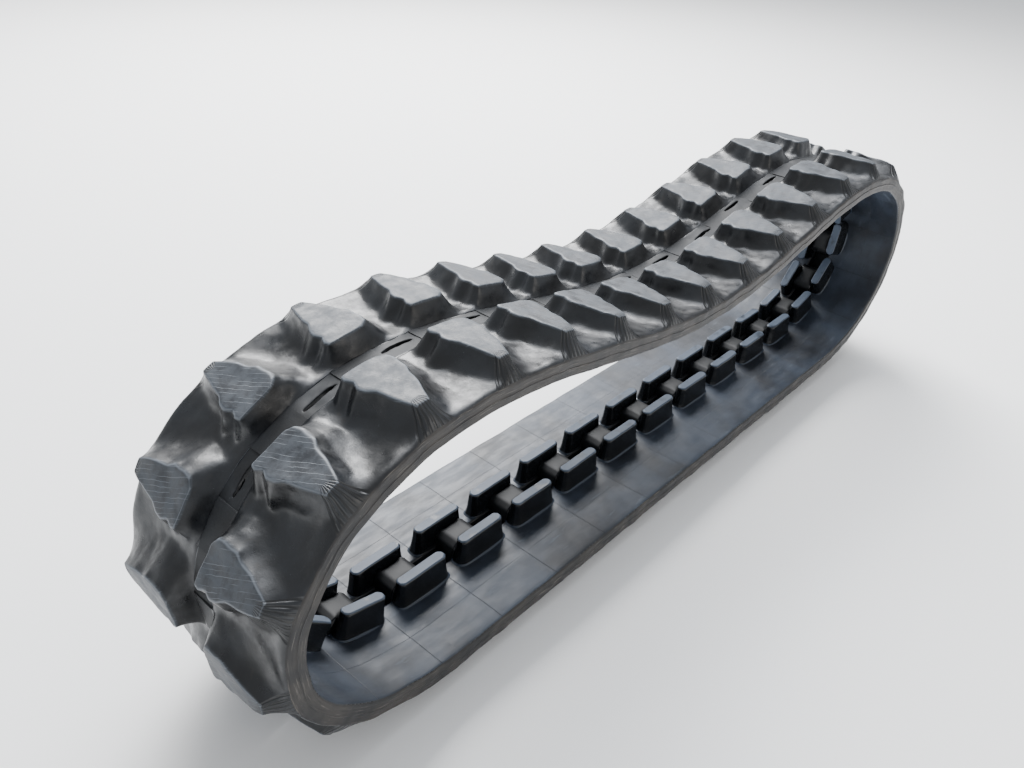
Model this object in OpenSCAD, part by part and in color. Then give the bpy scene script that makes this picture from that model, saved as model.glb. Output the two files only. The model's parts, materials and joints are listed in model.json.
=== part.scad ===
// Endless rubber track for a micro excavator or a small tracked carrier.
// A moulded belt carries tread lugs outside and two staggered rows of guide lugs inside.
// Every pitch holds an iron core, and steel cords run round the loop on both sides of it.
// The belt is built in sections that meet on the flex lines between the cores.
// Each section has its own frame: u runs along the belt, v points to the wheel side.

/* [Track] */
// Distance along the cord line from one iron core to the next
pitch = 72; // [70:1:100]
// Width of the belt
belt_w = 180; // [160:1:240]
// Distance along the belt between the left row of lugs and the right row
stagger = 19; // [14:1:22]

/* [Belt] */
// Rubber between the cord line and the wheel side
inner_t = 10; // [9.5:0.5:14]
// Rubber between the cord line and the valleys of the tread
outer_t = 7; // [5:0.5:12]
// Gap between two neighbouring sections on the cord line
flex_gap = 0.6; // [0.4:0.1:1.5]
// Turn of a flex line away from the rest shape that the gaps leave room for
flex_turn = 3; // [3:1:8]

/* [Sprocket pockets] */
// Width of a pocket across the belt
pocket_w = 20; // [12:1:21]
// Moulding film that closes a pocket on the tread side
film_t = 1.6; // [1:0.2:4]

/* [Guide lugs] */
// Height of a guide lug above the wheel side
guide_h = 24; // [14:1:32]
// Length of a guide lug along the belt at its foot
guide_len = 43; // [30:1:45]
// Width of a guide lug at its foot
guide_w = 14; // [12:1:20]
// Width of a guide lug at its top
guide_top_w = 9; // [8:1:12]
// How far each end of a guide lug leans in at the top
guide_rake = 3.5; // [2.5:0.5:6]
// Clear distance between the feet of the two rows
guide_gap = 22; // [22:1:36]
// Length of the saddle between the two guide lugs of a core
saddle_len = 32; // [24:1:40]
// Height of the saddle above the wheel side
saddle_h = 15; // [8:1:18]

/* [Tread lugs] */
// Height of a tread lug above the valleys
tread_h = 17; // [8:1:26]
// Length of a tread lug's top at its inner end
tread_len = 35; // [20:1:38]
// Length of a tread lug's top at its outer end
tread_tip_len = 10; // [6:1:20]
// Distance from the centre line to the inner end of a tread lug's top
tread_inner = 20; // [19:1:26]
// Distance from the centre line to where the top starts to narrow
tread_shoulder = 39; // [32:1:48]
// Distance from the belt edge to the outer end of a tread lug's top
tread_margin = 12; // [11:1:20]
// Run of the steep flank at the front of a tread lug
tread_front = 7; // [4:1:10]
// Run of the gentle flank at the back of a tread lug
tread_back = 12; // [6:1:14]
// Run of the end flanks of a tread lug
tread_end = 8; // [5:1:9]
// Shift of the tread lugs from the iron cores along the belt
tread_shift = 2; // [0:1:4]

/* [Iron cores] */
// Width of a core's wings along the belt
core_w = 24; // [16:1:30]
// Thickness of a core's wings
core_t = 6; // [4:0.5:6]
// Rubber over the wings on the wheel side
core_cover = 2; // [1.5:0.5:3]
// Distance from the belt edge to the tip of a wing
core_edge = 14; // [8:1:24]
// Rubber round a core's horns
horn_cover = 2.5; // [1.5:0.5:3]
// Rubber over the core's saddle
saddle_cover = 2; // [1:0.5:4]

/* [Steel cords] */
// Diameter of a cord
cord_d = 3; // [1.5:0.5:3.5]
// Number of cords on each side
cord_count = 4; // [2:1:5]
// Distance between neighbouring cords
cord_step = 12; // [6:1:12]
// Distance from the centre line to the innermost cord
cord_start = 34; // [28:1:36]

/* [Loop] */
// Links that lie flat on the ground
ground_links = 10; // [10:1:20]
// Headings of the rising links, in degrees, from the ground up
rising_headings = [14, 42, 82];
// Headings of the links over the crest and down to the middle of the top
crest_headings = [152, 173, 185, 191, 191, 187];

/* [Hidden] */
$fn = 24;
bond = 0.05;            // glue line round cores and cords
rubber = [0.17, 0.17, 0.18];
iron = [0.36, 0.33, 0.31];
steel = [0.70, 0.66, 0.52];

// The loop: the steepest link takes the heading that closes it
function cosines(list) = [for (h = list) cos(h)];
function total(list, n = 0) = n < len(list) ? list[n] + total(list, n + 1) : 0;
known_run = total(cosines(rising_headings)) + total(cosines(crest_headings));
steep_heading = acos(0.5 - ground_links / 2 - known_run);
side_headings = concat(rising_headings, [steep_heading], crest_headings);
side_links = len(side_headings);
link_count = ground_links + 2 * side_links + 1;
top_link = ground_links + side_links;

// Height of the cord line above the ground under the flat run
cord_z = outer_t + tread_h;
function wrap(i) = (i + link_count) % link_count;
function heading(i) =
    i < ground_links ? 0
    : i < top_link ? side_headings[i - ground_links]
    : i == top_link ? 180
    : 360 - side_headings[link_count - 1 - i];
function turn(i) = let (step = heading(wrap(i)) - heading(wrap(i - 1))) step < -180 ? step + 360 : step;
function pivots(i, at, list) =
    i == link_count ? list
    : pivots(i + 1, at + pitch * [cos(heading(i)), sin(heading(i))], concat(list, [at]));
all_pivots = pivots(0, [-ground_links * pitch / 2, cord_z], []);

// The ground run is rigid: the flat links and one rising link at each end
ground_first = link_count - 1;
ground_span = ground_links + 2;
first_moving = ground_links + 1;
last_moving = link_count - 2;

core_u = pitch / 2;
core_top = inner_t - core_cover;
core_bottom = core_top - core_t;
guide_y = guide_gap / 2 + guide_w / 2;
tread_out = belt_w / 2 - tread_margin;
bearing_w = pocket_w - 4; // bare iron face in a pocket
seam_turn = 20;         // keeps a cylinder's seam off the flex line's edge
rows = [-1, 1];         // right row, left row

// Point (u, v) of link i in the plane of the loop
function spot(i, u, v) =
    let (h = heading(wrap(i)))
    all_pivots[wrap(i)] + u * [cos(h), sin(h)] + v * [-sin(h), cos(h)];

// Room left at a free end of a section, at distance v from the cord line
function room(v) = flex_gap / 2 + abs(v) * tan(flex_turn / 2);
function start_u(i, v, slack) = v * tan(turn(i) / 2) + slack;
function end_u(i, v, slack) = pitch - v * tan(turn(i + 1) / 2) - slack;

// Side outline of a run of links between the heights low and high
function outline(first, count, low, high) =
    let (
        levels = high > 0 ? [low, 0, high] : [low, high],
        last = first + count - 1
    )
    concat(
        [for (v = levels) spot(first, start_u(first, v, room(v)), v)],
        [for (k = [1 : 1 : count - 1]) spot(first + k, start_u(first + k, high, 0), high)],
        [for (n = [len(levels) - 1 : -1 : 0]) spot(last, end_u(last, levels[n], room(levels[n])), levels[n])],
        [for (k = [count - 1 : -1 : 1]) spot(first + k, start_u(first + k, low, 0), low)]
    );

// Side outline of the pocket on the flex line between links i - 1 and i
function pocket_outline(i) =
    let (
        low = film_t - outer_t,
        high = inner_t + saddle_h,
        reach = pitch / 2 - saddle_len / 2
    )
    concat(
        [for (v = [high, low]) spot(i - 1, pitch - reach, v)],
        [spot(i, start_u(i, low, 0), low)],
        [for (v = [low, high]) spot(i, reach, v)],
        [spot(i, start_u(i, high, 0), high)]
    );

module on_link(i) {
    translate([all_pivots[wrap(i)][0], 0, all_pivots[wrap(i)][1]])
        rotate([0, -heading(wrap(i)), 0])
            children();
}

module across(width) {
    rotate([90, 0, 0])
        linear_extrude(width, center = true)
            children();
}

// Block between two outlines with the same number of points, seen from above
module frustum(lower, upper, low, high) {
    n = len(lower);
    polyhedron(
        points = concat([for (p = lower) [p[0], p[1], low]], [for (p = upper) [p[0], p[1], high]]),
        faces = concat(
            [[for (k = [0 : n - 1]) k]],
            [[for (k = [n - 1 : -1 : 0]) n + k]],
            [for (k = [0 : n - 1]) each [
                [k, n + k, (k + 1) % n],
                [(k + 1) % n, n + k, n + (k + 1) % n]
            ]]
        )
    );
}

// Long octagon: half length a, half width b, corner cut c
function octagon(a, b, c) = [
    [-a, c - b], [c - a, -b], [a - c, -b], [a, c - b],
    [a, b - c], [a - c, b], [c - a, b], [-a, b - c]
];

// One guide lug, shrunk by skin for the iron horn inside it
module guide_lug(row, foot, skin) {
    half = guide_len / 2 - skin;
    corner = 3;
    translate([core_u - row * stagger / 2, row * guide_y, 0])
        frustum(
            octagon(half, guide_w / 2 - skin, corner),
            octagon(half - guide_rake, guide_top_w / 2 - skin, corner / 2),
            foot,
            inner_t + guide_h - skin
        );
}

// Saddle that joins the two guide lugs, with its ends drawn in or out by grow
module saddle(foot, height, grow, widen) {
    reach = saddle_len / 2 - 0.5 + grow;
    shoulder = 6;
    translate([core_u, 0, 0])
        across(guide_gap + widen)
            polygon([
                [-reach, foot],
                [reach, foot],
                [reach, height - shoulder],
                [reach - shoulder, height],
                [shoulder - reach, height],
                [-reach, height - shoulder]
            ]);
}

// Outline of a tread lug from above, with its four flanks run out by share
function tread_outline(share) =
    let (
        front = tread_len / 2 + share * tread_front,
        back = -tread_len / 2 - share * tread_back,
        tip = tread_tip_len / 2 + share * tread_front,
        tip_back = -tread_tip_len / 2 - share * tread_back,
        inner = tread_inner - share * tread_end,
        outer = tread_out + share * tread_end
    )
    [[back, inner], [front, inner], [front, tread_shoulder], [tip, outer], [tip_back, outer], [back, tread_shoulder]];

module tread_lug(row) {
    sunk = 1;
    shares = [1 + sunk / tread_h, 0];
    shape = [for (s = shares) [for (p = tread_outline(s)) [p[0], row * p[1]]]];
    order = row > 0 ? [0, 1, 2, 3, 4, 5] : [5, 4, 3, 2, 1, 0];
    translate([core_u - row * stagger / 2 + tread_shift, 0, 0])
        mirror([0, 0, 1])
            frustum(
                [for (k = order) shape[0][k]],
                [for (k = order) shape[1][k]],
                outer_t - sunk,
                outer_t + tread_h
            );
}

// Iron core of one link, grown by the glue line where it is cut from the rubber
module core_shape(grow = 0) {
    wing = belt_w / 2 - core_edge;
    step = 0.5;
    skin = horn_cover - grow;
    union() {
        translate([core_u - core_w / 2 - grow, -wing - grow, core_bottom - grow])
            cube([core_w + 2 * grow, 2 * (wing + grow), core_t + 2 * grow]);
        translate([core_u - saddle_len / 2 - step, -bearing_w / 2 - grow, core_bottom + step - grow])
            cube([saddle_len + 2 * step, bearing_w + 2 * grow, core_t + 2 * grow]);
        saddle(core_bottom + 2 * step - grow, inner_t + saddle_h - saddle_cover + grow, -saddle_cover + grow, 0);
        for (row = rows)
            guide_lug(row, core_bottom + 3 * step - grow, skin);
    }
}

// Twelve-sided tube along the cord line of a run of links, mitred at the flex lines
module tube(first, count, r, slack) {
    sides = 12;
    kinks = [for (k = [0 : count]) if (k == 0 || k == count || turn(first + k) != 0) k];
    last = len(kinks) - 1;
    function ring_point(k, y, v) =
        let (p = k < count
            ? spot(first + k, start_u(first + k, v, k == 0 ? slack : 0), v)
            : spot(first + count - 1, end_u(first + count - 1, v, slack), v))
        [p[0], y, p[1]];
    polyhedron(
        points = [for (k = kinks, a = [0 : sides - 1])
            ring_point(k, r * cos((a + 0.5) * 360 / sides), r * sin((a + 0.5) * 360 / sides))],
        faces = concat(
            [[for (a = [0 : sides - 1]) a]],
            [[for (a = [sides - 1 : -1 : 0]) last * sides + a]],
            [for (n = [0 : last - 1], a = [0 : sides - 1]) each [
                [n * sides + a, (n + 1) * sides + a, n * sides + (a + 1) % sides],
                [n * sides + (a + 1) % sides, (n + 1) * sides + a, (n + 1) * sides + (a + 1) % sides]
            ]]
        )
    );
}

// Cords of a run of links, each one solid from end to end, or the channels they lie in
module cord_run(first, count, grow = 0) {
    r = cord_d / 2 + grow;
    slack = grow > 0 ? -outer_t : room(r);
    lead = r * tan(abs(turn(first)) / 2) + slack;
    trail = r * tan(abs(turn(first + 1)) / 2) + slack;
    for (row = rows, c = [0 : cord_count - 1])
        translate([0, row * (cord_start + c * cord_step), 0])
            if (count > 1)
                tube(first, count, r, slack);
            else
                on_link(first)
                    translate([lead, 0, 0])
                        rotate([0, 90, 0])
                            rotate([0, 0, seam_turn])
                                cylinder(h = pitch - lead - trail, r = r);
}

// Pockets for sprocket teeth on all the flex lines of a run of links
module pockets(first, count) {
    for (k = [0 : count])
        across(pocket_w)
            polygon(pocket_outline(first + k));
}

// Rubber of a run of links, with the room for its cores and cords
module belt_run(first, count) {
    deep = outer_t + tread_h + 1;
    difference() {
        union() {
            difference() {
                across(belt_w)
                    polygon(outline(first, count, -outer_t, inner_t));
                pockets(first, count);
            }
            intersection() {
                across(belt_w)
                    polygon(outline(first, count, -deep, -outer_t / 2));
                for (k = [0 : count - 1], row = rows)
                    on_link(first + k)
                        tread_lug(row);
            }
            for (k = [0 : count - 1])
                on_link(first + k) {
                    for (row = rows)
                        guide_lug(row, inner_t - 1, 0);
                    saddle(inner_t / 2, inner_t + saddle_h, 0, 4);
                }
        }
        for (k = [0 : count - 1])
            on_link(first + k)
                core_shape(bond);
        cord_run(first, count, bond);
    }
}

module ground_belt() {
    color(rubber)
        belt_run(ground_first, ground_span);
}

module ground_cores() {
    color(iron)
        for (k = [0 : ground_span - 1])
            on_link(ground_first + k)
                core_shape();
}

module ground_cords() {
    color(steel)
        cord_run(ground_first, ground_span);
}

module belt_section(i) {
    color(rubber)
        belt_run(i, 1);
}

module core(i) {
    color(iron)
        on_link(i)
            core_shape();
}

module cords(i) {
    color(steel)
        cord_run(i, 1);
}

ground_belt();
ground_cores();
ground_cords();
for (i = [first_moving : last_moving]) {
    belt_section(i);
    core(i);
    cords(i);
}
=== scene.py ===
import json
import math
from functools import partial

import bmesh
import bpy
import numpy as np
from mathutils import Matrix, Vector, noise


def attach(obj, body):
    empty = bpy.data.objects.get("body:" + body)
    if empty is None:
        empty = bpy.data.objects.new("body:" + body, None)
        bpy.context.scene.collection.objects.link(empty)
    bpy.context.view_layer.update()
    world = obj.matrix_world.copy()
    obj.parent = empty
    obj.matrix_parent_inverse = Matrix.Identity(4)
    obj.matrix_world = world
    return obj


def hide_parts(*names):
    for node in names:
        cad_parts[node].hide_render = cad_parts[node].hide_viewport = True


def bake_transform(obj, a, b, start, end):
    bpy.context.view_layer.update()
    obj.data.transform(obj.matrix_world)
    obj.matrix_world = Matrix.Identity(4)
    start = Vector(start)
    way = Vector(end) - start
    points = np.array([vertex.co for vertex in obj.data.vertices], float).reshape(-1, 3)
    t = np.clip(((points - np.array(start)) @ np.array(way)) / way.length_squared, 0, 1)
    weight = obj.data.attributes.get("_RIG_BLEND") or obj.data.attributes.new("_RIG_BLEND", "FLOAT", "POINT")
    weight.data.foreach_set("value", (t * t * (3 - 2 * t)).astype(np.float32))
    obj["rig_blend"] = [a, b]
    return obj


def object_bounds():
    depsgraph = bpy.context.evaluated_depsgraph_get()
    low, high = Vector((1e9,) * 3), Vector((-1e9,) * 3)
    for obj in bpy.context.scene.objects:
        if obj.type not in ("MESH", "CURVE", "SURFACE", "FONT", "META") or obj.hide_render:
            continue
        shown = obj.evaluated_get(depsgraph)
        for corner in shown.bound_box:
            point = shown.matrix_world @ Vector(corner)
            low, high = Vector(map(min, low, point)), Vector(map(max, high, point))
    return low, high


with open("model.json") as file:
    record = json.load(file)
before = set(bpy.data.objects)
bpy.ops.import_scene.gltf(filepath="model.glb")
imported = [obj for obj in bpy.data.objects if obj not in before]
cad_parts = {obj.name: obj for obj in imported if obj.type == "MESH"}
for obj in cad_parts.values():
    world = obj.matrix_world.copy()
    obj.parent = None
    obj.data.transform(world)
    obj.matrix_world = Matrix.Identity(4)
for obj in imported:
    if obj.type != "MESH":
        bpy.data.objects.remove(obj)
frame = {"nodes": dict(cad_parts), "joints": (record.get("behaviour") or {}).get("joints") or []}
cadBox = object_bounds()
mm = 0.001
noise.seed_set(1)        # without a seed, noise_vector takes its offsets from the clock

belt = {
    "pitch": 72 * mm,        # one iron core to the next
    "innerThick": 10 * mm,   # cord line to the wheel side
    "outerThick": 7 * mm,    # cord line to the valleys of the tread
    "treadHeight": 17 * mm,
    "stagger": 19 * mm,      # left row of lugs behind the right row
    "treadShift": 2 * mm,    # tread lugs ahead of the iron cores
    "roundLen": 30 * mm,     # how far each side of a flex line the rubber bends
    "flatLinks": 10,         # links that lie on the ground
    "openLink": 21,          # the two chains of links meet at the start of this one
    "blendLen": 18 * mm,     # each side of a flex line, for the poses
}
pitch = belt["pitch"]


def loopPivots():
    points = {}
    groundZ = belt["outerThick"] + belt["treadHeight"]
    for k in range(belt["flatLinks"] + 1):
        points[k] = ((k - belt["flatLinks"] / 2) * pitch, groundZ)
    for joint in frame["joints"]:
        link = int(joint["child"].split("_")[1])
        x, y, z = joint["pos_m"]
        points[link if link < belt["openLink"] else link + 1] = (x, z)
    before = points[belt["openLink"] - 1]
    points[belt["openLink"]] = (before[0] - pitch, before[1])  # the middle of the top run is level
    return np.array([points[k] for k in range(len(points))])


pivots = loopPivots()
linkCount = len(pivots)
steps = np.roll(pivots, -1, axis=0) - pivots
headings = np.arctan2(steps[:, 1], steps[:, 0])
turns = (headings - np.roll(headings, 1) + math.pi) % (2 * math.pi) - math.pi
groundLinks = [linkCount - 1] + list(range(belt["flatLinks"] + 1))


def bodyOf(link):
    link %= linkCount
    return "ground_run" if link in groundLinks else f"link_{link}"


def alongLoop(s):
    # point on the cord line and its normal towards the wheels, rounded at each flex line
    reach = belt["roundLen"]
    k = np.round(s / pitch).astype(int)
    d = s - k * pitch
    theta = turns[k % linkCount]
    theta = np.where(np.abs(theta) < 1e-4, 1e-4, theta)
    middle = headings[(k - 1) % linkCount] + theta / 2
    share = np.clip(d / reach, -1, 1)
    angle = middle + theta / 2 * share
    radius = (reach / np.tan(theta / 2))[:, None]
    tangent = np.column_stack([np.cos(angle), np.sin(angle)])
    normal = np.column_stack([-np.sin(angle), np.cos(angle)])
    middleNormal = np.column_stack([-np.sin(middle), np.cos(middle)])
    centre = pivots[k % linkCount] + middleNormal * radius / np.cos(theta / 2)[:, None]
    point = centre - normal * radius + tangent * (d - share * reach)[:, None]
    return point, normal


def toLoop(flat, link, rigid):
    # flat holds (along the belt, across, towards the wheels)
    # rigid points keep their link's own straight frame
    point, normal = alongLoop(flat[:, 0])
    bent = point + normal * flat[:, 2:3]
    h = headings[link % linkCount]
    u = flat[:, 0] - link * pitch
    along, up = np.array([math.cos(h), math.sin(h)]), np.array([-math.sin(h), math.cos(h)])
    straight = pivots[link % linkCount] + u[:, None] * along + flat[:, 2:3] * up
    mixed = bent + (straight - bent) * np.reshape(rigid, (-1, 1))
    return np.column_stack([mixed[:, 0], flat[:, 1], mixed[:, 1]])


def smoothStep(low, high, value):
    t = np.clip((value - low) / (high - low), 0, 1)
    return t * t * (3 - 2 * t)


def meshCoords(mesh):
    co = np.zeros(len(mesh.vertices) * 3)
    mesh.vertices.foreach_get("co", co)
    return co.reshape(-1, 3)


def subdivided(bm, levels):
    # Catmull-Clark on a bmesh, given back as a mesh
    mesh = bpy.data.meshes.new("cage")
    bm.to_mesh(mesh)
    bm.free()
    holder = bpy.data.objects.new("cage", mesh)
    bpy.context.scene.collection.objects.link(holder)
    smoother = holder.modifiers.new("smooth", "SUBSURF")
    smoother.levels = smoother.render_levels = levels
    done = bpy.data.meshes.new_from_object(holder.evaluated_get(bpy.context.evaluated_depsgraph_get()))
    bpy.data.objects.remove(holder)
    bpy.data.meshes.remove(mesh)
    return done


rubberGrain = {
    "dentSize": 24 * mm, "dentDepth": 1.0 * mm,       # soft unevenness of moulded rubber
    "rippleSize": 8 * mm, "rippleDepth": 0.3 * mm,
}


def uneven(points, share):
    # the same point always moves the same way, so neighbouring pieces still meet
    moved = points.copy()
    for size, depth in (
        (rubberGrain["dentSize"], rubberGrain["dentDepth"]),
        (rubberGrain["rippleSize"], rubberGrain["rippleDepth"]),
    ):
        shift = np.array([noise.noise_vector(Vector(p / size)) for p in points])
        moved += shift * depth * share[:, None]
    return moved


def place(name, mesh, link, rigid, share, materials):
    # bends a flat piece round the loop and keeps its flat place for the materials
    flat = meshCoords(mesh)
    flat[:, 0] += link * pitch
    points = uneven(toLoop(flat, link, rigid), share)
    mesh.vertices.foreach_set("co", points.ravel())
    keep = mesh.attributes.new("beltSpace", "FLOAT_VECTOR", "POINT")
    keep.data.foreach_set("vector", flat.ravel())
    mesh.update()
    for material in materials:
        mesh.materials.append(material)
    piece = bpy.data.objects.new(name, mesh)
    bpy.context.scene.collection.objects.link(piece)
    return piece


def follow(piece, flexLine):
    # the piece crosses this flex line, so it bends between the links on both sides
    a, b = bodyOf(flexLine - 1), bodyOf(flexLine)
    if a == b or flexLine % linkCount == belt["openLink"]:
        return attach(piece, a)
    at = pivots[flexLine % linkCount]
    h0, h1 = headings[(flexLine - 1) % linkCount], headings[flexLine % linkCount]
    start = at - belt["blendLen"] * np.array([math.cos(h0), math.sin(h0)])
    end = at + belt["blendLen"] * np.array([math.cos(h1), math.sin(h1)])
    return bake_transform(piece, a, b, (start[0], 0, start[1]), (end[0], 0, end[1]))


def hexToLinear(text):
    values = [int(text[k:k + 2], 16) / 255 for k in (1, 3, 5)]
    return [v / 12.92 if v <= 0.04045 else ((v + 0.055) / 1.055) ** 2.4 for v in values] + [1.0]


def addNode(tree, kind, settings, links):
    # links feed the working inputs in order, or by name; a node stands for its first working output
    made = tree.nodes.new("ShaderNode" + kind)
    for key, value in settings.items():
        setattr(made, key, value)
    working = [socket for socket in made.inputs if socket.enabled]
    if isinstance(links, dict):
        named = {socket.name: socket for socket in working}
        working, links = [named[key] for key in links], links.values()
    for socket, value in zip(working, links):
        if isinstance(value, bpy.types.Node):
            value = next(output for output in value.outputs if output.enabled)
        if isinstance(value, bpy.types.NodeSocket):
            tree.links.new(value, socket)
        else:
            socket.default_value = value
    return made


def newMaterial(name):
    material = bpy.data.materials.new(name)
    material.use_nodes = True
    material.node_tree.nodes.clear()
    return material, partial(addNode, material.node_tree)


def tones(look):
    return {key: hexToLinear(value) for key, value in look.items() if isinstance(value, str)}


smooth = {"interpolation_type": "SMOOTHSTEP"}
colourMix = {"data_type": "RGBA"}
plus, minus, times = {"operation": "ADD"}, {"operation": "SUBTRACT"}, {"operation": "MULTIPLY"}
toAndFro, largest = {"operation": "PINGPONG"}, {"operation": "MAXIMUM"}
unsigned, bearing = {"operation": "ABSOLUTE"}, {"operation": "ARCTAN2"}
bands = {"wave_type": "BANDS", "bands_direction": "X"}
waveLength = 0.314           # a wave texture's scale times the distance between two bands

treadLook = {
    "deep": "#08090b", "dust": "#1a1d21", "warm": "#29241f",         # flanks and hollows
    "top": "#3d4248", "topDark": "#25282d", "scratch": "#6c7279",    # faces that meet the ground
    # crease is painted shade, for the fan of creases near the rim
    "worn": "#7a8087", "crease": "#050606",
    "cloudSize": 38 * mm, "patchSize": 11 * mm, "speckSize": 2.4 * mm,
    "roughTop": 0.54, "roughSide": 0.36, "roughStrip": 0.66,
    "lineStep": 3.4 * mm, "lineTurn": math.radians(24),              # pale hairlines that the mould leaves
    "fanTip": (1.5 * mm, 66 * mm), "fanStep": 0.19,                  # creases from tip to rim, painted near black as shade, radians
    "fanStart": (70 * mm, 75 * mm), "gapSize": 5 * mm,
}


def mouldedTreadRubber():
    # pressed natural rubber with carbon black: sooty in the hollows, grey and dull where lugs rub the ground
    look, tone = treadLook, tones(treadLook)
    material, add = newMaterial("mouldedTreadRubber")
    flat = add("Attribute", {"attribute_name": "beltSpace"}, []).outputs["Vector"]
    local = add("Attribute", {"attribute_name": "lugSpace"}, []).outputs["Vector"]
    wear = add("Attribute", {"attribute_name": "edgeWear"}, []).outputs["Fac"]
    spot = add("TexCoord", {}, []).outputs["Object"]
    across, depth = add("SeparateXYZ", {}, [flat]).outputs[1:]
    betweenRows = add("MapRange", smooth, [add("Math", unsigned, [across]), 11 * mm, 9.5 * mm])
    lugAlong, lugAcross = add("SeparateXYZ", {}, [local]).outputs[:2]
    lugTop = -(belt["outerThick"] + belt["treadHeight"])
    onTop = add("MapRange", smooth, [depth, lugTop + 2.6 * mm, lugTop + 0.8 * mm])
    cloud = add("TexNoise", {}, {"Vector": spot, "Scale": 1 / look["cloudSize"], "Detail": 4})
    patch = add("TexNoise", {}, {
        "Vector": spot, "Scale": 1 / look["patchSize"], "Detail": 5, "Roughness": 0.65,
    })
    speck = add("TexNoise", {}, {
        "Vector": spot, "Scale": 1 / look["speckSize"], "Detail": 3, "Roughness": 0.7,
    })

    body = add("Mix", colourMix, [add("MapRange", smooth, [cloud, 0.38, 0.68]), tone["deep"], tone["dust"]])
    body = add("Mix", colourMix, [add("MapRange", smooth, [patch, 0.60, 0.74, 0, 0.35]), body, tone["warm"]])
    worn = add("Mix", colourMix, [add("MapRange", smooth, [patch, 0.34, 0.62]), tone["topDark"], tone["top"]])

    slanted = add("Mapping", {}, {"Vector": flat, "Rotation": (0, 0, look["lineTurn"])})
    cut = add("TexWave", bands, {
        "Vector": slanted, "Scale": waveLength / look["lineStep"], "Distortion": 1.4, "Detail": 2,
        "Detail Scale": 1.5,
    }).outputs["Fac"]
    along = add("Mapping", {}, {"Vector": slanted, "Scale": (1, 0.2, 1)})
    gaps = add("TexNoise", {}, {"Vector": along, "Scale": 1 / look["gapSize"], "Detail": 2})
    hair = add("Math", times, [
        add("MapRange", smooth, [cut, 0.94, 1.0, 0, 0.55]), add("MapRange", smooth, [gaps, 0.42, 0.58]),
    ])
    worn = add("Mix", colourMix, [hair, worn, tone["scratch"]])
    colour = add("Mix", colourMix, [onTop, body, worn])

    outward = add("Math", minus, [lugAcross, look["fanTip"][1]])
    sideways = add("Math", minus, [lugAlong, look["fanTip"][0]])
    angle = add("Math", bearing, [sideways, outward])
    ray = add("MapRange", smooth, [add("Math", toAndFro, [angle, look["fanStep"] / 2]), 0.062, 0.02])
    fanGrooveAndShade = add("Math", times, [ray, add("MapRange", smooth, [lugAcross, *look["fanStart"]])])
    fanGrooveAndShade = add("Math", times, [fanGrooveAndShade, add("MapRange", smooth, [add("Math", unsigned, [angle]), 0.68, 0.52])])
    # painted shade: the fan's creases are coloured near black, as if shade fell in them
    colour = add("Mix", colourMix, [add("Math", times, [fanGrooveAndShade, 0.92]), colour, tone["crease"]])
    colour = add("Mix", colourMix, [add("MapRange", smooth, [wear, 0.3, 0.9, 0, 0.5]), colour, tone["worn"]])
    colour = add("Mix", colourMix, [
        add("MapRange", smooth, [speck, 0.67, 0.80, 0, 0.3]), colour, tone["worn"],
    ])

    rough = add("MapRange", smooth, [onTop, 0, 1, look["roughSide"], look["roughTop"]])
    rough = add("Math", plus, [rough, add("MapRange", smooth, [patch, 0.3, 0.7, -0.10, 0.12])])
    rough = add("Math", largest, [rough, add("Math", times, [betweenRows, look["roughStrip"]])])
    grain = add("Math", plus, [add("Math", times, [speck, 0.2]), add("Math", times, [patch, 0.8])])
    grain = add("Math", minus, [grain, add("Math", times, [fanGrooveAndShade, 2.6])])
    grain = add("Math", plus, [grain, add("Math", times, [add("Math", times, [hair, onTop]), 0.5])])
    bump = add("Bump", {}, {"Strength": 0.5, "Distance": 0.6 * mm, "Height": grain})
    shader = add("BsdfPrincipled", {}, {
        "Base Color": colour, "Roughness": rough, "Normal": bump, "IOR": 1.52,
    })
    add("OutputMaterial", {}, {"Surface": shader})
    return material


edgeLook = {
    "dark": "#141314", "brown": "#2d2925", "fleck": "#6d6861", "groove": "#0c0b0b",
    "rough": 0.58, "streakSize": 1.2 * mm, "cloudSize": 24 * mm, "speckSize": 1.8 * mm,
}


def trimmedEdgeRubber():
    # the rim where the mould halves part: dusty brown, with hairlines that run the length of the belt
    look, tone = edgeLook, tones(edgeLook)
    material, add = newMaterial("trimmedEdgeRubber")
    flat = add("Attribute", {"attribute_name": "beltSpace"}, []).outputs["Vector"]
    spot = add("TexCoord", {}, []).outputs["Object"]
    along = add("Mapping", {}, {"Vector": flat, "Scale": (0.05, 1, 1)})
    streak = add("TexNoise", {}, {
        "Vector": along, "Scale": 1 / look["streakSize"], "Detail": 4, "Roughness": 0.6,
    })
    cloud = add("TexNoise", {}, {"Vector": spot, "Scale": 1 / look["cloudSize"], "Detail": 4})
    speck = add("TexNoise", {}, {
        "Vector": spot, "Scale": 1 / look["speckSize"], "Detail": 2, "Roughness": 0.6,
    })
    colour = add("Mix", colourMix, [
        add("MapRange", smooth, [cloud, 0.35, 0.65]), tone["dark"], tone["brown"],
    ])
    colour = add("Mix", colourMix, [
        add("MapRange", smooth, [streak, 0.56, 0.70, 0, 0.6]), colour, tone["fleck"],
    ])
    colour = add("Mix", colourMix, [
        add("MapRange", smooth, [streak, 0.44, 0.34, 0, 0.8]), colour, tone["groove"],
    ])
    colour = add("Mix", colourMix, [
        add("MapRange", smooth, [speck, 0.68, 0.80, 0, 0.6]), colour, tone["fleck"],
    ])
    bump = add("Bump", {}, {"Strength": 0.5, "Distance": 0.5 * mm, "Height": streak})
    shader = add("BsdfPrincipled", {}, {
        "Base Color": colour, "Roughness": look["rough"], "Normal": bump, "IOR": 1.52,
    })
    add("OutputMaterial", {}, {"Surface": shader})
    return material


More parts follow.
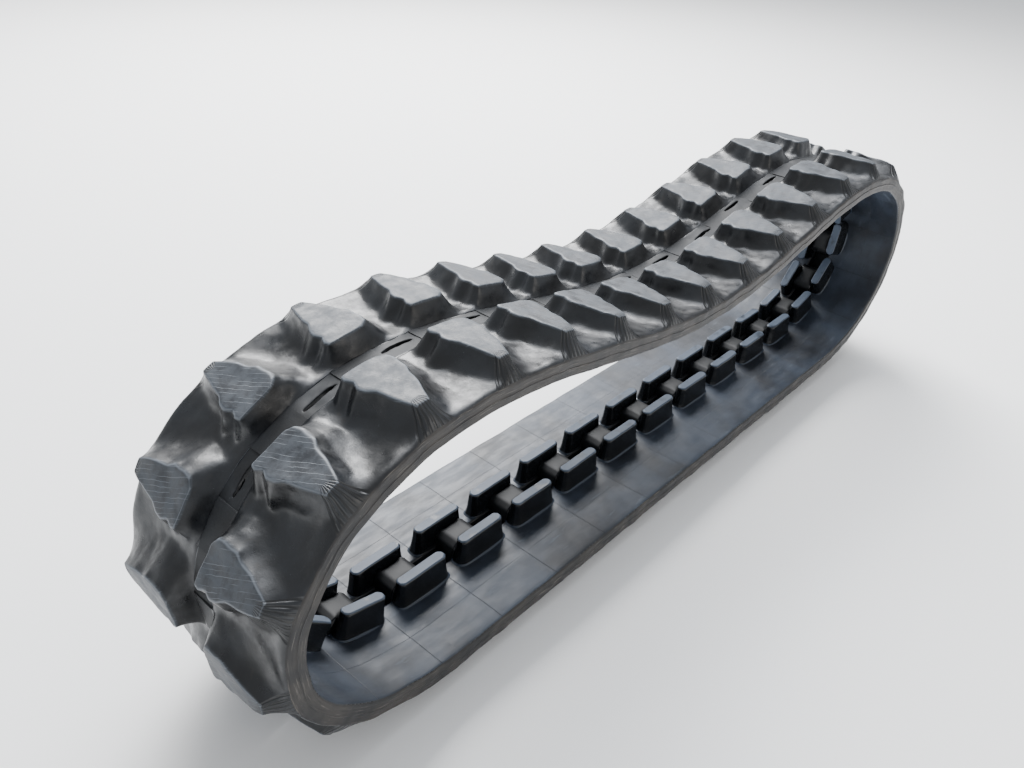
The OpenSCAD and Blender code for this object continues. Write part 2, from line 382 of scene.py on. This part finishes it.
wheelLook = {
    "dark": "#171b22", "paintedSkySheen": "#353e4b", "line": "#08090b", "scuff": "#5a6470",
    "rough": 0.48, "plateLen": 72 * mm, "plateWidth": 52 * mm, "cloudSize": 60 * mm, "smearSize": 9 * mm,
    "speckSize": 2.2 * mm,
}


def pressedWheelSideRubber():
    # pressed against polished mould plates: smooth, with a painted bluish sky reflection in soft clouds and
    # faint plate joints
    look, tone = wheelLook, tones(wheelLook)
    material, add = newMaterial("pressedWheelSideRubber")
    flat = add("Attribute", {"attribute_name": "beltSpace"}, []).outputs["Vector"]
    spot = add("TexCoord", {}, []).outputs["Object"]
    along, across = add("SeparateXYZ", {}, [flat]).outputs[:2]
    drawn = add("Mapping", {}, {"Vector": flat, "Scale": (0.25, 1, 1)})
    cloud = add("TexNoise", {}, {"Vector": spot, "Scale": 1 / look["cloudSize"], "Detail": 4})
    smear = add("TexNoise", {}, {
        "Vector": drawn, "Scale": 1 / look["smearSize"], "Detail": 4, "Roughness": 0.6,
    })
    speck = add("TexNoise", {}, {
        "Vector": spot, "Scale": 1 / look["speckSize"], "Detail": 3, "Roughness": 0.7,
    })
    # painted reflection: clouds of pale blue-grey stand in for the sky mirrored in the smooth rubber
    colour = add("Mix", colourMix, [
        add("MapRange", smooth, [cloud, 0.32, 0.70]), tone["dark"], tone["paintedSkySheen"],
    ])
    colour = add("Mix", colourMix, [
        add("MapRange", smooth, [smear, 0.60, 0.75, 0, 0.35]), colour, tone["scuff"],
    ])
    joint = add("Math", toAndFro, [along, look["plateLen"] / 2])
    joint = add("MapRange", smooth, [joint, 0.55 * mm, 0.0])
    seam = add("Math", toAndFro, [across, look["plateWidth"] / 2])
    seam = add("MapRange", smooth, [seam, 0.4 * mm, 0.0, 0, 0.6])
    groove = add("Math", largest, [joint, seam])
    colour = add("Mix", colourMix, [add("Math", times, [groove, 0.7]), colour, tone["line"]])
    colour = add("Mix", colourMix, [
        add("MapRange", smooth, [speck, 0.68, 0.80, 0, 0.3]), colour, tone["scuff"],
    ])
    height = add("Math", minus, [add("Math", times, [smear, 0.5]), groove])
    bump = add("Bump", {}, {"Strength": 0.45, "Distance": 0.5 * mm, "Height": height})
    rough = add("Math", plus, [add("MapRange", smooth, [smear, 0.3, 0.7, -0.04, 0.10]), look["rough"]])
    shader = add("BsdfPrincipled", {}, {
        "Base Color": colour, "Roughness": rough, "Normal": bump, "IOR": 1.52,
    })
    add("OutputMaterial", {}, {"Surface": shader})
    return material


guideLook = {
    "gloss": "#060709", "smoke": "#13161a", "top": "#465160", "worn": "#727b85",
    "rough": 0.24, "roughTop": 0.52, "roughSaddle": 0.58, "cloudSize": 14 * mm, "speckSize": 2 * mm,
}


def glossyGuideRubber():
    # deep mould pockets leave the guide lugs shiny black, and rollers polish their tops to a dull blue-grey
    look, tone = guideLook, tones(guideLook)
    material, add = newMaterial("glossyGuideRubber")
    flat = add("Attribute", {"attribute_name": "beltSpace"}, []).outputs["Vector"]
    spot = add("TexCoord", {}, []).outputs["Object"]
    across, depth = add("SeparateXYZ", {}, [flat]).outputs[1:]
    cloud = add("TexNoise", {}, {"Vector": spot, "Scale": 1 / look["cloudSize"], "Detail": 4})
    speck = add("TexNoise", {}, {
        "Vector": spot, "Scale": 1 / look["speckSize"], "Detail": 3, "Roughness": 0.7,
    })
    betweenRows = add("MapRange", smooth, [add("Math", unsigned, [across]), 11.5 * mm, 10 * mm])
    crest = belt["innerThick"] + guide["height"]
    foot = belt["innerThick"]
    onTop = add("MapRange", smooth, [depth, crest - 1.3 * mm, crest - 0.35 * mm])
    onTop = add("Math", times, [onTop, add("MapRange", smooth, [cloud, 0.30, 0.46, 0.45, 1])])
    atFoot = add("MapRange", smooth, [depth, foot + 2.4 * mm, foot + 0.6 * mm, 0, 0.45])
    atFoot = add("Math", times, [atFoot, add("Math", minus, [1, betweenRows])])
    colour = add("Mix", colourMix, [cloud, tone["gloss"], tone["smoke"]])
    colour = add("Mix", colourMix, [atFoot, colour, tone["top"]])
    colour = add("Mix", colourMix, [onTop, colour, tone["top"]])
    colour = add("Mix", colourMix, [
        add("MapRange", smooth, [speck, 0.66, 0.80, 0, 0.25]), colour, tone["worn"],
    ])
    rough = add("MapRange", smooth, [onTop, 0, 1, look["rough"], look["roughTop"]])
    rough = add("Math", largest, [rough, add("Math", times, [betweenRows, look["roughSaddle"]])])
    bump = add("Bump", {}, {"Strength": 0.35, "Distance": 0.4 * mm, "Height": cloud})
    shader = add("BsdfPrincipled", {}, {
        "Base Color": colour, "Roughness": rough, "Normal": bump, "IOR": 1.52, "Specular IOR Level": 0.36,
    })
    add("OutputMaterial", {}, {"Surface": shader})
    return material


ironLook = {"skin": "#3b3734", "tan": "#5a4a3e", "rust": "#7a4a2c", "pitSize": 3 * mm, "cloudSize": 18 * mm}


def castIron():
    # sand-cast core: dark brown-grey skin with rust in the pits
    look, tone = ironLook, tones(ironLook)
    material, add = newMaterial("castIron")
    spot = add("TexCoord", {}, []).outputs["Object"]
    pits = add("TexNoise", {}, {"Vector": spot, "Scale": 1 / look["pitSize"], "Detail": 5, "Roughness": 0.65})
    cloud = add("TexNoise", {}, {"Vector": spot, "Scale": 1 / look["cloudSize"], "Detail": 3})
    colour = add("Mix", colourMix, [add("MapRange", smooth, [cloud, 0.35, 0.65]), tone["skin"], tone["tan"]])
    colour = add("Mix", colourMix, [
        add("MapRange", smooth, [pits, 0.58, 0.72, 0, 0.7]), colour, tone["rust"],
    ])
    rough = add("MapRange", smooth, [pits, 0.3, 0.7, 0.5, 0.75])
    bump = add("Bump", {}, {"Strength": 0.6, "Distance": 0.5 * mm, "Height": pits})
    shader = add("BsdfPrincipled", {}, {
        "Base Color": colour, "Metallic": 0.7, "Roughness": rough, "Normal": bump,
    })
    add("OutputMaterial", {}, {"Surface": shader})
    return material


cordLook = {"groove": "#8f7f52", "crownHighlight": "#c9bd92", "stain": "#6b5a3a", "lay": 1.2 * mm, "stainSize": 5 * mm}


def brassPlatedCordSteel():
    # drawn steel strands, thinly plated with brass so that the rubber bonds: pale gold with a spiral lay,
    # painted darker in the grooves as shade and paler on the crowns as highlight
    look, tone = cordLook, tones(cordLook)
    material, add = newMaterial("brassPlatedCordSteel")
    spot = add("TexCoord", {}, []).outputs["Object"]
    turned = add("Mapping", {}, {"Vector": spot, "Rotation": (0, math.radians(20), math.radians(35))})
    strand = add("TexWave", bands, {
        "Vector": turned, "Scale": waveLength / look["lay"], "Distortion": 0.4,
    }).outputs["Fac"]
    stain = add("TexNoise", {}, {"Vector": spot, "Scale": 1 / look["stainSize"], "Detail": 3})
    # painted shade and highlight: the colour follows the bump's bands, dark in the grooves and pale on the
    # crowns
    colour = add("Mix", colourMix, [strand, tone["groove"], tone["crownHighlight"]])
    colour = add("Mix", colourMix, [
        add("MapRange", smooth, [stain, 0.55, 0.7, 0, 0.5]), colour, tone["stain"],
    ])
    rough = add("MapRange", smooth, [stain, 0.3, 0.7, 0.28, 0.48])
    bump = add("Bump", {}, {"Strength": 0.7, "Distance": 0.4 * mm, "Height": strand})
    shader = add("BsdfPrincipled", {}, {
        "Base Color": colour, "Metallic": 1.0, "Roughness": rough, "Normal": bump,
    })
    add("OutputMaterial", {}, {"Surface": shader})
    return material


# Each station is a line along the belt at a distance from the centre, in mm, with one
# (along, height over the valley) pair for each column: valley, back foot, back flank,
# back edge, middle of the top, front edge, front flank and front foot of the lug.
lug = {
    "stations": [
        (10.5, [(-37, -0.4), (-30, -0.4), (-20, -0.4), (-9, -0.4), (4, -0.4), (15, -0.4), (21, -0.4),
                (27, -0.4)]),
        (12.2, [(-37, 0.4), (-30, 0.5), (-20, 0.8), (-9, 2.4), (4, 3.4), (15, 2.6), (21, 0.8), (27, 0.3)]),
        (15, [(-37, 0.2), (-31, 0.8), (-19, 4.5), (-9, 10.5), (4.5, 12), (16, 11), (20.5, 5), (25.5, 0.2)]),
        (18, [(-37, -0.2), (-32, 1), (-21, 9), (-11, 16.8), (4, 17), (17.5, 17), (21.5, 8.5), (26, 0)]),
        (22, [(-38, -0.4), (-33, 1), (-25, 8), (-17.5, 17), (0, 17), (18.8, 17), (22.5, 8.5), (27, 0)]),
        (28, [(-38, -1), (-34, 0), (-26, 7.5), (-19, 17), (0, 16.6), (15.5, 17), (18.5, 7.5), (23, -0.8)]),
        (34, [(-38.5, -1.6), (-35, -0.5), (-26, 7), (-18.2, 17), (0, 16.4), (18.6, 17), (24, 9), (29, 0.6)]),
        (41, [(-39, -2), (-35, -1.2), (-24.5, 6), (-18.5, 16.8), (0, 16.6), (17, 17), (21, 8), (26, -0.5)]),
        (47, [(-39.5, -2.4), (-33, -2), (-22, 5), (-14.5, 16.8), (-1, 16.6), (12.6, 17), (15.5, 7),
              (20, -1.4)]),
        (58, [(-40, -2.6), (-31, -2.6), (-19, 4), (-12.5, 16.8), (-0.5, 16.6), (11, 17), (15.5, 8),
              (20.5, -0.4)]),
        (69, [(-39, -2), (-29, -2.4), (-16, 4), (-8, 16.6), (0, 16.8), (8.2, 17), (12.5, 8), (18, -0.2)]),
        (77, [(-38, -0.6), (-26, -1), (-12, 5), (-4.5, 15.8), (1, 16.2), (5.5, 16), (10, 8), (16, 0.4)]),
        (82.5, [(-37, 0.6), (-23, 0.2), (-10, 3), (-5, 9), (1, 10.5), (5, 9.4), (9.5, 4), (15, 1)]),
        (87.5, [(-37, 1), (-22, 0.8), (-11, 1.4), (-5, 3.4), (1, 4.4), (6, 3.4), (11, 1.6), (18, 1)]),
    ],
    "rim": [  # (across, towards the wheels) round the edge and back along the wheel side
        (90, -5.4), (90.1, 0.4), (90.7, 1.3), (90.1, 2.2), (90, 8.2), (88.2, 10), (50, 10), (12.5, 10),
        (10.5, 8.6), (10.5, -3.4),
    ],
    "rimColumns": [-38, -26, -17, -8, 1, 10, 19, 27],
    "topRows": (3, 11),                 # first and last station of the lug's flat top
    "topColumns": (3, 5),               # back edge and front edge
    "creases": (0.6, 0.95),             # the back edge is soft, the front edge is crisp
    "endCrease": 0.75,
    "cornerCrease": 0.65,               # keeps the outline of the top angular
    "rimCrease": 0.5,
    "footCrease": 0.8,                  # beside the strip between the rows
    "levels": 3,
    "rimAt": 89.2 * mm, "wheelAt": 9.6 * mm,       # where the materials of the rim and the wheel side begin
    "stripDepth": -6.6 * mm,            # the strip between the rows, from the cord line
    "seams": (-27 * mm, -47 * mm),      # where a piece starts, behind its lug, in the right and left rows
    "stiffRise": (1.5 * mm, 11 * mm),   # over the valley, where a lug becomes too stiff to bend with the belt
    "stiffReach": (22 * mm, 27 * mm),   # along the belt from the lug's middle, where it bends again
}


def treadCage():
    # three pitches of the right half, as a tube round its section, with the middle lug at zero
    stations, rim, rimColumns = lug["stations"], lug["rim"], lug["rimColumns"]
    columnCount = len(rimColumns)
    rowCount = len(stations) + len(rim) + 1      # the last row closes on the first
    wide = 3 * columnCount
    bm = bmesh.new()
    bmesh.ops.create_grid(bm, x_segments=wide, y_segments=rowCount - 1, size=1)
    creases = bm.edges.layers.float.new("crease_edge")
    corners = bm.verts.layers.float.new("crease_vert")
    verts = sorted(bm.verts, key=lambda v: (round(v.co.y, 4), round(v.co.x, 4)))
    at = {}
    for n, vert in enumerate(verts):
        row, column = divmod(n, wide + 1)
        tile, c = divmod(column, columnCount)
        if row == rowCount - 1:
            row = 0
        if row < len(stations):
            across, pairs = stations[row]
            along, height = pairs[c]
            deep = -belt["outerThick"] / mm - height
        else:
            across, deep = rim[row - len(stations)]
            along = rimColumns[c]
        vert.co = (along * mm + (tile - 1) * pitch, -across * mm, deep * mm)
        at[vert] = (row, c)
    first, last = lug["topRows"]
    back, front = lug["topColumns"]
    for vert, (row, c) in at.items():
        if first <= row <= last and c in (back, front):
            vert[corners] = lug["cornerCrease"]
    for edge in bm.edges:
        (r0, c0), (r1, c1) = at[edge.verts[0]], at[edge.verts[1]]
        if r0 != r1 and c0 == c1 and c0 in (back, front) and first <= min(r0, r1) and max(r0, r1) <= last:
            edge[creases] = lug["creases"][c0 == front]
        if r0 == r1 and r0 in (first, last) and back <= min(c0, c1) and max(c0, c1) <= front:
            edge[creases] = lug["endCrease"]
        if r0 == r1 and r0 >= len(stations):
            edge[creases] = lug["rimCrease"]
        if r0 == r1 == 0:
            edge[creases] = lug["footCrease"]
    bmesh.ops.remove_doubles(bm, verts=bm.verts, dist=0.01 * mm)
    return bm


def treadTile(side, seam):
    # one pitch of half a belt, closed at both seams; side is -1 for the right row and 1 for the left
    bm = bmesh.new()
    bm.from_mesh(subdivided(treadCage(), lug["levels"]))
    bmesh.ops.recalc_face_normals(bm, faces=bm.faces)
    wear = bm.verts.layers.float.new("edgeWear")
    for vert in bm.verts:        # how far the rubber falls away round a corner
        around = sum(((e.other_vert(vert).co - vert.co).normalized() for e in vert.link_edges), Vector())
        vert[wear] = max(0.0, min(1.0, -around.dot(vert.normal) * 1.3))
    for cut, keepAbove in ((seam, True), (seam + pitch, False)):
        geometry = bm.verts[:] + bm.edges[:] + bm.faces[:]
        bmesh.ops.bisect_plane(bm, geom=geometry, dist=1e-6, plane_co=(cut, 0, 0), plane_no=(1, 0, 0),
                               clear_inner=keepAbove, clear_outer=not keepAbove)
    bmesh.ops.remove_doubles(bm, verts=bm.verts, dist=0.02 * mm)
    loose = [e for e in bm.edges if len(e.link_faces) == 1]
    bmesh.ops.holes_fill(bm, edges=loose, sides=0)
    for edge in loose:
        edge.smooth = False
    if side > 0:
        bmesh.ops.scale(bm, vec=(1, -1, 1), verts=bm.verts)
    bmesh.ops.recalc_face_normals(bm, faces=bm.faces)
    for face in bm.faces:
        centre = face.calc_center_median()
        face.smooth = True
        face.material_index = 1 if abs(centre.y) > lug["rimAt"] else 2 if centre.z > lug["wheelAt"] else 0
    mesh = bpy.data.meshes.new("treadTile")
    bm.to_mesh(mesh)
    bm.free()
    return mesh


def treadPieces(materials):
    half = belt["stagger"] / 2
    rows = {
        "right": (-1, pitch / 2 + half + belt["treadShift"], lug["seams"][0], 1),
        "left": (1, pitch / 2 - half + belt["treadShift"], lug["seams"][1], 0),
    }
    for word, (side, centre, seam, crossed) in rows.items():
        tile = treadTile(side, seam)
        flat = meshCoords(tile)
        local = tile.attributes.new("lugSpace", "FLOAT_VECTOR", "POINT")
        local.data.foreach_set("vector", (flat * (1, side, -1)).ravel())
        height = -flat[:, 2] - belt["outerThick"]
        nearLug = 1 - smoothStep(*lug["stiffReach"], np.abs(flat[:, 0]))
        rigid = smoothStep(*lug["stiffRise"], height) * nearLug
        flat[:, 0] += centre
        share = 1 - 0.5 * smoothStep(0, 9 * mm, flat[:, 2])     # the wheel side is pressed flatter
        for link in range(linkCount):
            mesh = tile.copy()
            mesh.vertices.foreach_set("co", flat.ravel())
            piece = place(f"{word}_tread_{link:02d}", mesh, link, rigid, share, materials)
            follow(piece, link + crossed)
            if word == "right":
                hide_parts("ground_belt" if bodyOf(link) == "ground_run" else f"belt_{link}")
    print("tread rows", linkCount * 2)


guide = {
    "height": 25 * mm, "width": 14.4 * mm, "topWidth": 9.6 * mm, "rake": 3 * mm,
    "length": 57 * mm,        # at the foot
    "tightLength": 48 * mm,   # squeezed between its neighbours on the sharp bends
    "tightTurn": math.radians(20),
    "gap": 22 * mm,           # between the feet of the two rows
    "corner": 4.4 * mm,
    # (growth of the outline in mm, height over the wheel side in mm, share of the taper, crease)
    "rings": [
        (2.9, -1.2, 0, 0), (2.7, 0.2, 0, 0.3), (1.2, 0.8, 0, 0), (0.5, 2.6, 0.05, 0), (0.3, 8, 0.3, 0),
        (0.4, 18, 0.8, 0), (0.7, 23.6, 1, 0.6), (-0.5, 25.2, 1, 0.85), (-2, 25.1, 1, 0),
    ],
    "cornerCrease": 0.7,
}
saddle = {
    # (along from the middle of the link, height over the cord line), mm
    "profile": [
        (-18.4, 3), (-18.2, 15), (-16.8, 22), (-11, 26.2), (0, 27),
        (11, 26.2), (16.8, 22), (18.2, 15), (18.4, 3),
    ],
    "across": [-12.6, -6, 6, 12.6], "dip": 0.5, "bottom": -6.7,
    "crease": 0.7, "shoulders": (18.2, 16.8, 11),      # the profile's lines that stay crisp
}


def guideLug(bm, centreU, centreY, length):
    # an eight-sided block with a flared foot, drawn up ring by ring
    made = bmesh.ops.create_circle(bm, cap_ends=False, segments=8, radius=1)["verts"]
    ring = sorted(made, key=lambda v: math.atan2(v.co.y, v.co.x))
    creases = bm.edges.layers.float.get("crease_edge") or bm.edges.layers.float.new("crease_edge")
    foot = ring
    for n, (growth, height, taper, crease) in enumerate(guide["rings"]):
        if n:
            loop = [e for e in bm.edges if e.verts[0] in ring and e.verts[1] in ring]
            grown = bmesh.ops.extrude_edge_only(bm, edges=loop)["geom"]
            fresh = [g for g in grown if isinstance(g, bmesh.types.BMVert)]
            ring = [min(fresh, key=lambda v: (v.co - old.co).length) for old in ring]
        a = length / 2 - guide["rake"] * taper + growth * mm
        b = (guide["width"] + (guide["topWidth"] - guide["width"]) * taper) / 2 + growth * mm
        c = guide["corner"] * (1 - 0.35 * taper)
        outline = [
            (-a, c - b), (c - a, -b), (a - c, -b), (a, c - b),
            (a, b - c), (a - c, b), (c - a, b), (-a, b - c),
        ]
        outline.sort(key=lambda p: math.atan2(p[1] / b, p[0] / a))
        for vert, (x, y) in zip(ring, outline):
            vert.co = (centreU + x, centreY + y, belt["innerThick"] + height * mm)
        for edge in {e for v in ring for e in v.link_edges}:
            inRing = edge.verts[0] in ring and edge.verts[1] in ring
            edge[creases] = crease if inRing else guide["cornerCrease"] * (n > 2)
    bm.faces.new(ring)
    bm.faces.new(foot[::-1])


def saddleBlock(bm):
    # the rubber over the core between the two rows, down to the strip between the tread rows
    profile, across = saddle["profile"], saddle["across"]
    creases = bm.edges.layers.float["crease_edge"]
    made = bmesh.ops.create_grid(bm, x_segments=len(profile) - 1, y_segments=len(across) - 1, size=1)["verts"]
    grid = sorted(made, key=lambda v: (round(v.co.y, 4), round(v.co.x, 4)))
    for n, vert in enumerate(grid):
        row, column = divmod(n, len(profile))
        along, height = profile[column]
        inner = 0 < row < len(across) - 1
        vert.co = (pitch / 2 + along * mm, across[row] * mm, (height - saddle["dip"] * inner) * mm)
    faces = [f for f in bm.faces if all(v in made for v in f.verts)]
    down = bmesh.ops.extrude_face_region(bm, geom=faces)["geom"]
    for vert in (g for g in down if isinstance(g, bmesh.types.BMVert)):
        vert.co.z = saddle["bottom"] * mm
        for edge in vert.link_edges:
            edge[creases] = saddle["crease"]
    shoulders = [v for v in made if round(abs(v.co.x - pitch / 2) / mm, 1) in saddle["shoulders"]]
    for edge in bm.edges:
        if all(vert in shoulders for vert in edge.verts):
            edge[creases] = saddle["crease"]


def guideBlock(length):
    half = belt["stagger"] / 2
    middle = (guide["gap"] + guide["width"]) / 2
    bm = bmesh.new()
    for row in (-1, 1):
        guideLug(bm, pitch / 2 - row * half, row * middle, length)
    saddleBlock(bm)
    bmesh.ops.recalc_face_normals(bm, faces=bm.faces)
    block = subdivided(bm, 2)
    for face in block.polygons:
        face.use_smooth = True
        face.material_index = 1 if face.center.z < 0 else 0      # the strip between the tread rows
    return block


def guidePieces(materials):
    relaxed, squeezed = guideBlock(guide["length"]), guideBlock(guide["tightLength"])
    count = len(relaxed.vertices)
    for link in range(linkCount):
        tight = max(abs(turns[link]), abs(turns[(link + 1) % linkCount])) > guide["tightTurn"]
        mesh = (squeezed if tight else relaxed).copy()
        piece = place(f"guide_lugs_{link:02d}", mesh, link, np.ones(count), np.full(count, 0.45), materials)
        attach(piece, bodyOf(link))
    print("guide lugs", linkCount * 2)


film = {
    "length": 44 * mm, "width": 25 * mm, "thick": 1.6 * mm, "cells": (20, 12),
    "sunk": 0.3 * mm,            # inside the strip between the tread rows
    "sag": 1.1 * mm, "wrinkles": 90,         # wrinkles per metre
    "wholeLinks": range(9, 17),  # films that haven't torn
    "tear": 28 * mm, "gape": 1.9 * mm, "leastGape": 0.15 * mm, "lipReach": 10 * mm,
    "aside": 1 * mm, "asideWander": 6 * mm, "alongWander": 5 * mm,       # where the tear runs
    "curl": 1.5 * mm, "curls": 300,          # curls per metre
}


def filmPieces(material):
    # the thin skin that the mould leaves across each pocket, torn along its middle
    along, across = film["cells"]
    for link in range(linkCount):
        bm = bmesh.new()
        verts = bmesh.ops.create_grid(bm, x_segments=along, y_segments=across, size=1)["verts"]
        for vert in verts:
            u, y = vert.co.x * film["length"] / 2, vert.co.y * film["width"] / 2
            sag = noise.noise(Vector((u * film["wrinkles"], y * film["wrinkles"], link * 1.7))) * film["sag"]
            rim = max(0.0, 1 - abs(vert.co.y) ** 3)
            vert.co = (u, y, sag * rim)
        bmesh.ops.remove_doubles(bm, verts=bm.verts, dist=0.01 * mm)
        centreY = film["aside"] + noise.noise(Vector((link * 3.1, 0.5, 0))) * film["asideWander"]
        middle = noise.noise(Vector((link * 2.3, 4.5, 0))) * film["alongWander"]
        torn = [f for f in bm.faces if abs(f.calc_center_median().x - middle) < film["tear"] / 2
                and abs(f.calc_center_median().y - centreY) < film["width"] / across / 1.9]
        if link in film["wholeLinks"]:
            torn = []
        bmesh.ops.delete(bm, geom=torn, context="FACES")
        lips = [v for v in bm.verts if v.is_boundary and abs(v.co.y) < film["lipReach"]] if torn else []
        for vert in lips:
            if abs(vert.co.x - middle) < film["tear"] / 2 + 2 * mm:
                gap = film["gape"] * (1 - ((vert.co.x - middle) / (film["tear"] / 2 + 3 * mm)) ** 2)
                side = 1 if vert.co.y > centreY else -1
                vert.co.y = centreY + side * max(gap, film["leastGape"])
                vert.co.z += noise.noise(Vector((vert.co.x * film["curls"], side, link))) * film["curl"]
        bmesh.ops.solidify(bm, geom=bm.faces[:], thickness=film["thick"])
        bmesh.ops.recalc_face_normals(bm, faces=bm.faces)
        outside = sorted(v.co.z for v in bm.verts)[len(bm.verts) // 4]       # middle of the outer skin
        lift = lug["stripDepth"] + film["sunk"] - outside
        bmesh.ops.translate(bm, vec=(0, 0, lift), verts=bm.verts)
        mesh = subdivided(bm, 1)
        mesh.polygons.foreach_set("use_smooth", [True] * len(mesh.polygons))
        count = len(mesh.vertices)
        piece = place(f"pocket_film_{link:02d}", mesh, link, np.zeros(count), np.zeros(count), [material])
        follow(piece, link)
    print("pocket films", linkCount)


cords = {
    "diameter": 3 * mm, "count": 4, "step": 12 * mm,     # on each side of the belt
    "start": 34 * mm, "sides": 10, "rings": 12,
}


def cordStretch(start, end):
    bm = bmesh.new()
    radius = cords["diameter"] / 2
    for side in (-1, 1):
        for n in range(cords["count"]):
            y = side * (cords["start"] + n * cords["step"])
            turned = Matrix.Translation(((start + end) / 2, y, 0)) @ Matrix.Rotation(math.pi / 2, 4, "Y")
            bmesh.ops.create_cone(bm, cap_ends=True, segments=cords["sides"], radius1=radius, radius2=radius,
                                  depth=end - start, matrix=turned)
    long = [e for e in bm.edges if abs(e.verts[0].co.x - e.verts[1].co.x) > (end - start) / 2]
    bmesh.ops.subdivide_edges(bm, edges=long, cuts=cords["rings"])
    bmesh.ops.recalc_face_normals(bm, faces=bm.faces)
    for face in bm.faces:
        face.smooth = len(face.verts) == 4
    mesh = bpy.data.meshes.new("cords")
    bm.to_mesh(mesh)
    bm.free()
    return mesh


def cordPieces(material):
    # each cord follows the rounded line inside the rubber, half a pitch to each side of its flex line
    for link in range(linkCount):
        stretches = [(f"steel_cords_{link:02d}", -pitch / 2, pitch / 2)]
        if link == belt["openLink"]:       # the two chains of links part here
            stretches = [
                (f"steel_cords_{link}_before", -pitch / 2, 0), (f"steel_cords_{link}_after", 0, pitch / 2),
            ]
        for name, start, end in stretches:
            mesh = cordStretch(start, end)
            count = len(mesh.vertices)
            piece = place(name, mesh, link, np.zeros(count), np.zeros(count), [material])
            if name.endswith("after"):
                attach(piece, bodyOf(link))
            else:
                follow(piece, link)
            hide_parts("ground_cords" if bodyOf(link) == "ground_run" else f"cords_{link}")
    print("steel cords", linkCount * 2 * cords["count"])


stage = {
    "position": (-691.5 * mm, -409 * mm, 591.5 * mm), "azimuth": 50.8, "elevation": -32.5, "roll": 4.27,
    "lens": 30.98, "sensor": 36, "floor": "#fbfbfa", "sky": "#f1f5fb", "skyStrength": 0.82,
    "floorSize": 12,
    "clearance": 0.9 * mm,       # the uneven rubber dips a little below the nominal tread
    "aim": (0, 0, 0.1),
    # (place and size in metres, power in watts, colour)
    "lamps": [
        ((1.2, 1.9, 2.1), 1.8, 205, "#ffffff"),
        ((0.7, 0.6, 2.1), 1.8, 62, "#f4f8ff"),
        ((0.4, -2.2, 1.1), 1.2, 10, "#fff8ee"),
    ],
}


def makeCamera():
    data = bpy.data.cameras.new("camera")
    data.lens = stage["lens"]
    data.sensor_width = stage["sensor"]      # mm, like the lens
    camera = bpy.data.objects.new("camera", data)
    bpy.context.scene.collection.objects.link(camera)
    turned = (Matrix.Rotation(math.radians(-stage["azimuth"]), 4, "Z")
              @ Matrix.Rotation(math.radians(90 + stage["elevation"]), 4, "X")
              @ Matrix.Rotation(math.radians(stage["roll"]), 4, "Z"))
    camera.matrix_world = Matrix.Translation(stage["position"]) @ turned
    bpy.context.scene.camera = camera


def makeStage():
    bm = bmesh.new()
    bmesh.ops.create_grid(bm, x_segments=1, y_segments=1, size=stage["floorSize"])
    mesh = bpy.data.meshes.new("floor")
    bm.to_mesh(mesh)
    bm.free()
    floor = bpy.data.objects.new("floor", mesh)
    bpy.context.scene.collection.objects.link(floor)
    floor.location.z = cadBox[0][2] - stage["clearance"]
    material, add = newMaterial("palePaintedFloor")    # matt white paint, so that only soft shadows show
    shader = add("BsdfPrincipled", {}, {"Base Color": hexToLinear(stage["floor"]), "Roughness": 0.8})
    add("OutputMaterial", {}, {"Surface": shader})
    mesh.materials.append(material)
    for n, (spot, size, power, colour) in enumerate(stage["lamps"]):
        data = bpy.data.lights.new(f"lamp{n}", "AREA")
        data.shape, data.size, data.energy = "SQUARE", size, power
        data.color = hexToLinear(colour)[:3]
        lamp = bpy.data.objects.new(f"lamp{n}", data)
        bpy.context.scene.collection.objects.link(lamp)
        lamp.location = spot
        lamp.rotation_euler = (Vector(stage["aim"]) - Vector(spot)).to_track_quat("-Z", "Y").to_euler()
    world = bpy.data.worlds.new("world")
    world.use_nodes = True
    world.node_tree.nodes["Background"].inputs["Color"].default_value = hexToLinear(stage["sky"])
    world.node_tree.nodes["Background"].inputs["Strength"].default_value = stage["skyStrength"]
    bpy.context.scene.world = world


print("loop of", linkCount, "links")
makeCamera()
makeStage()
print("camera, floor and lamps")
tread, rim, wheelSide = mouldedTreadRubber(), trimmedEdgeRubber(), pressedWheelSideRubber()
treadPieces([tread, rim, wheelSide])
guidePieces([glossyGuideRubber(), tread])
filmPieces(tread)
cordPieces(brassPlatedCordSteel())
iron = castIron()
for name, node in frame["nodes"].items():
    if "core" in name:
        node.data.materials.clear()
        node.data.materials.append(iron)
print("iron cores")
